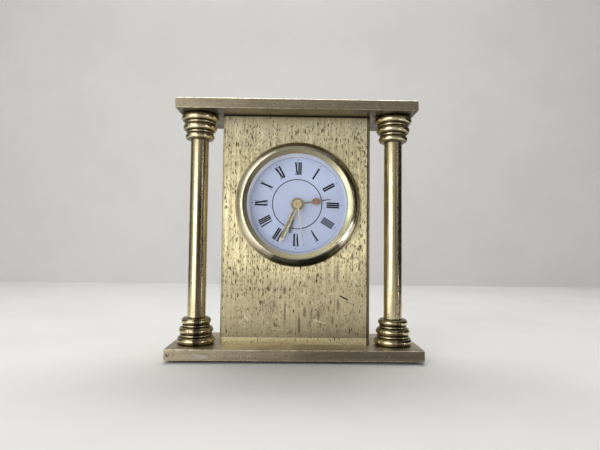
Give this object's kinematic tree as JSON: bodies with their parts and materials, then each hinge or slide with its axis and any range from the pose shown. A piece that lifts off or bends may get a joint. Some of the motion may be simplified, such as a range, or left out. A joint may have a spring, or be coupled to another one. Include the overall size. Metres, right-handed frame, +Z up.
{
  "type": "pillar desk alarm clock",
  "caption": "Small brass desk clock: plates on turned columns, a folded case with a round bezelled dial, hands, and a quartz alarm movement with setting knobs behind.",
  "frame": {"origin": "middle of the footprint, on the surface that the felt pad rests on", "axes": "+Z up, the dial faces -Y, +X to the right as the dial is read"},
  "size_m": [0.0988, 0.034, 0.1016],
  "materials": {
    "plate_brass": "satin, tarnished",
    "polished_brass": "polished",
    "bezel_brass": "polished",
    "case_brass": "brushed",
    "hand_brass": "polished",
    "contact_metal": "nickel plated",
    "rod_steel": "zinc plated",
    "stator_steel": "plain",
    "lens_glass": "clear",
    "dial_white": "satin",
    "ring_white": "satin",
    "felt": "felt",
    "movement_plastic": "matte",
    "knob_plastic": "satin",
    "wheel_plastic": "moulded",
    "rotor_magnet": "sintered",
    "copper_wire": "enamelled wire",
    "board_green": "laminate",
    "buzzer_brass": "plain",
    "cell_jacket": "printed jacket"
  },
  "bodies": {
    "frame": {"base_plate": "plate_brass", "top_plate": "plate_brass", "left_column_tube": "polished_brass", "right_column_tube": "polished_brass", "left_column_base": "polished_brass", "right_column_base": "polished_brass", "left_column_capital": "polished_brass", "right_column_capital": "polished_brass", "bezel": "bezel_brass", "case_shell": "case_brass", "rear_cover": "case_brass", "alarm_contact_spring": "contact_metal", "battery_contact_positive": "contact_metal", "battery_contact_negative": "contact_metal", "left_tie_rod": "rod_steel", "right_tie_rod": "rod_steel", "tie_rod_nuts": "rod_steel", "case_screws": "rod_steel", "rear_cover_screws": "rod_steel", "stator": "stator_steel", "crystal_can": "stator_steel", "lens": "lens_glass", "dial_plate": "dial_white", "dial_ring": "ring_white", "base_felt": "felt", "movement_front_housing": "movement_plastic", "movement_rear_housing": "movement_plastic", "gear_bridge": "movement_plastic", "clock_chip": "movement_plastic", "coil_bobbin": "wheel_plastic", "coil_winding": "copper_wire", "circuit_board": "board_green", "buzzer_disc": "buzzer_brass", "battery_cell": "cell_jacket"},
    "second": {"second_hand": "hand_brass", "seconds_wheel": "wheel_plastic"},
    "third": {"third_wheel": "wheel_plastic"},
    "centre": {"centre_wheel": "wheel_plastic"},
    "intermediate": {"intermediate_wheel": "wheel_plastic"},
    "motor_rotor": {"rotor": "rotor_magnet"},
    "minute": {"minute_hand": "hand_brass", "cannon_pinion": "wheel_plastic"},
    "motion": {"minute_wheel": "wheel_plastic"},
    "hour": {"hour_hand": "hand_brass", "hour_wheel": "wheel_plastic"},
    "time_setting": {"time_set_arbor": "wheel_plastic", "time_set_knob": "knob_plastic"},
    "alarm": {"alarm_hand": "hand_brass", "alarm_wheel": "wheel_plastic"},
    "alarm_setting": {"alarm_set_arbor": "wheel_plastic", "alarm_set_knob": "knob_plastic"},
    "switch": {"alarm_switch": "knob_plastic"},
    "bay_cover": {"battery_cover": "movement_plastic"}
  },
  "joints": [
    {"name": "second_hand_turn", "type": "hinge", "parent": "frame", "child": "second", "pos_m": [0.0005, 0, 0.0613], "axis": [0, 1, 0], "continuous": true},
    {"name": "third_wheel_turn", "type": "hinge", "parent": "frame", "child": "third", "pos_m": [-0.00783, 0, 0.05983], "axis": [0, 1, 0], "continuous": true},
    {"name": "centre_wheel_turn", "type": "hinge", "parent": "frame", "child": "centre", "pos_m": [0.0005, 0, 0.0613], "axis": [0, 1, 0], "continuous": true},
    {"name": "intermediate_wheel_turn", "type": "hinge", "parent": "frame", "child": "intermediate", "pos_m": [0.00936, 0, 0.05974], "axis": [0, 1, 0], "continuous": true},
    {"name": "rotor_turn", "type": "hinge", "parent": "frame", "child": "motor_rotor", "pos_m": [0.01626, 0, 0.06095], "axis": [0, 1, 0], "continuous": true},
    {"name": "minute_hand_turn", "type": "hinge", "parent": "frame", "child": "minute", "pos_m": [0.0005, 0, 0.0613], "axis": [0, 1, 0], "continuous": true},
    {"name": "minute_wheel_turn", "type": "hinge", "parent": "frame", "child": "motion", "pos_m": [0.0047, 0, 0.06857], "axis": [0, 1, 0], "continuous": true},
    {"name": "hour_hand_turn", "type": "hinge", "parent": "frame", "child": "hour", "pos_m": [0.0005, 0, 0.0613], "axis": [0, 1, 0], "continuous": true},
    {"name": "time_knob_turn", "type": "hinge", "parent": "frame", "child": "time_setting", "pos_m": [0.00616, 0, 0.07685], "axis": [0, 1, 0], "continuous": true},
    {"name": "alarm_hand_turn", "type": "hinge", "parent": "frame", "child": "alarm", "pos_m": [0.0005, 0, 0.0613], "axis": [0, 1, 0], "continuous": true},
    {"name": "alarm_knob_turn", "type": "hinge", "parent": "frame", "child": "alarm_setting", "pos_m": [-0.00529, 0, 0.06819], "axis": [0, 1, 0], "continuous": true},
    {"name": "alarm_switch_slide", "type": "slide", "parent": "frame", "child": "switch", "axis": [1, 0, 0], "range_m": [0, 0.004]},
    {"name": "battery_cover_slide", "type": "slide", "parent": "frame", "child": "bay_cover", "axis": [0, 0, -1], "range_m": [0, 0.017]}
  ],
  "couplings": [
    {"joint": "third_wheel_turn", "follows": "second_hand_turn", "ratio": -0.125},
    {"joint": "centre_wheel_turn", "follows": "second_hand_turn", "ratio": 0.016667},
    {"joint": "intermediate_wheel_turn", "follows": "second_hand_turn", "ratio": -5},
    {"joint": "rotor_turn", "follows": "second_hand_turn", "ratio": 30},
    {"joint": "minute_wheel_turn", "follows": "minute_hand_turn", "ratio": -0.33333},
    {"joint": "hour_hand_turn", "follows": "minute_hand_turn", "ratio": 0.083333},
    {"joint": "time_knob_turn", "follows": "minute_hand_turn", "ratio": 1},
    {"joint": "alarm_knob_turn", "follows": "alarm_hand_turn", "ratio": -2}
  ]
}
